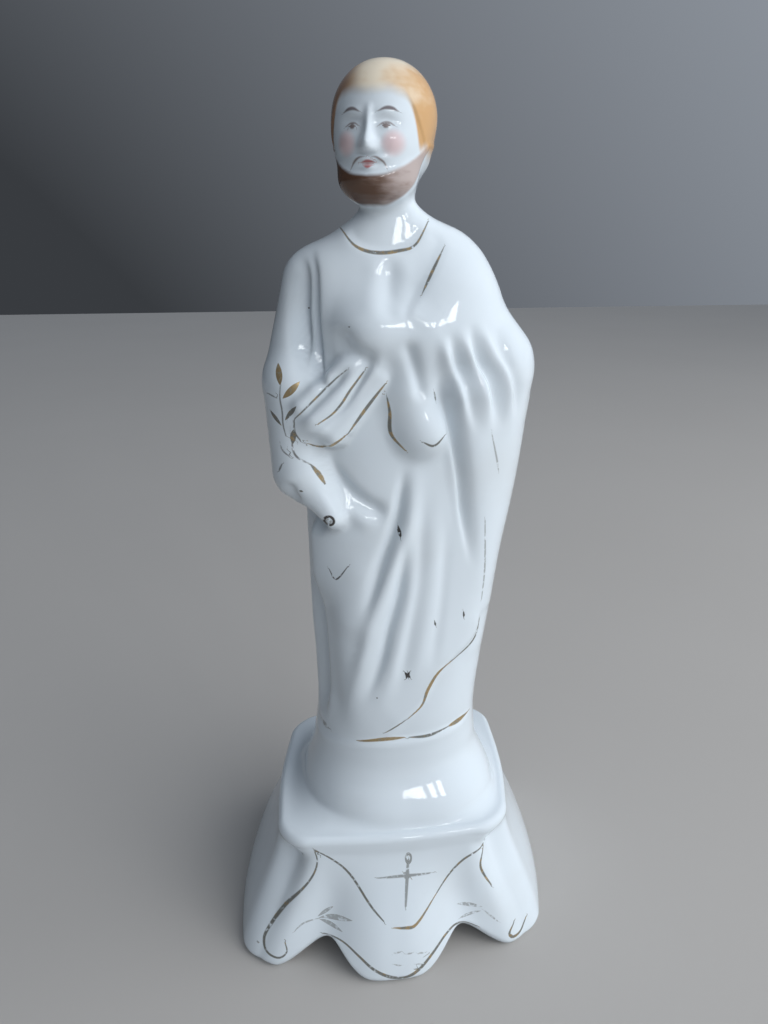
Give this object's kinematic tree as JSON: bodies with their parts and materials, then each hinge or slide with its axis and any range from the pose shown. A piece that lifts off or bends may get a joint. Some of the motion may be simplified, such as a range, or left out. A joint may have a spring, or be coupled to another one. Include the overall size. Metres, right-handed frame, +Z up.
{
  "type": "religious statue",
  "caption": "Glazed porcelain figurine of a bearded saint in a draped cloak, holding a lily twig, cast in one with a flared plinth with a scalloped front and a hollow underside.",
  "frame": {"origin": "on the ground, under the middle of the whole outline", "axes": "+Z up, the figure faces -Y, +X towards the viewer's right"},
  "size_m": [0.1026, 0.0918, 0.25],
  "materials": {
    "glazed_porcelain": "white glazed porcelain with worn gilt lines and overglaze paint; glossy"
  },
  "bodies": {
    "root": {"saint_statue": "glazed_porcelain"}
  },
  "joints": []
}
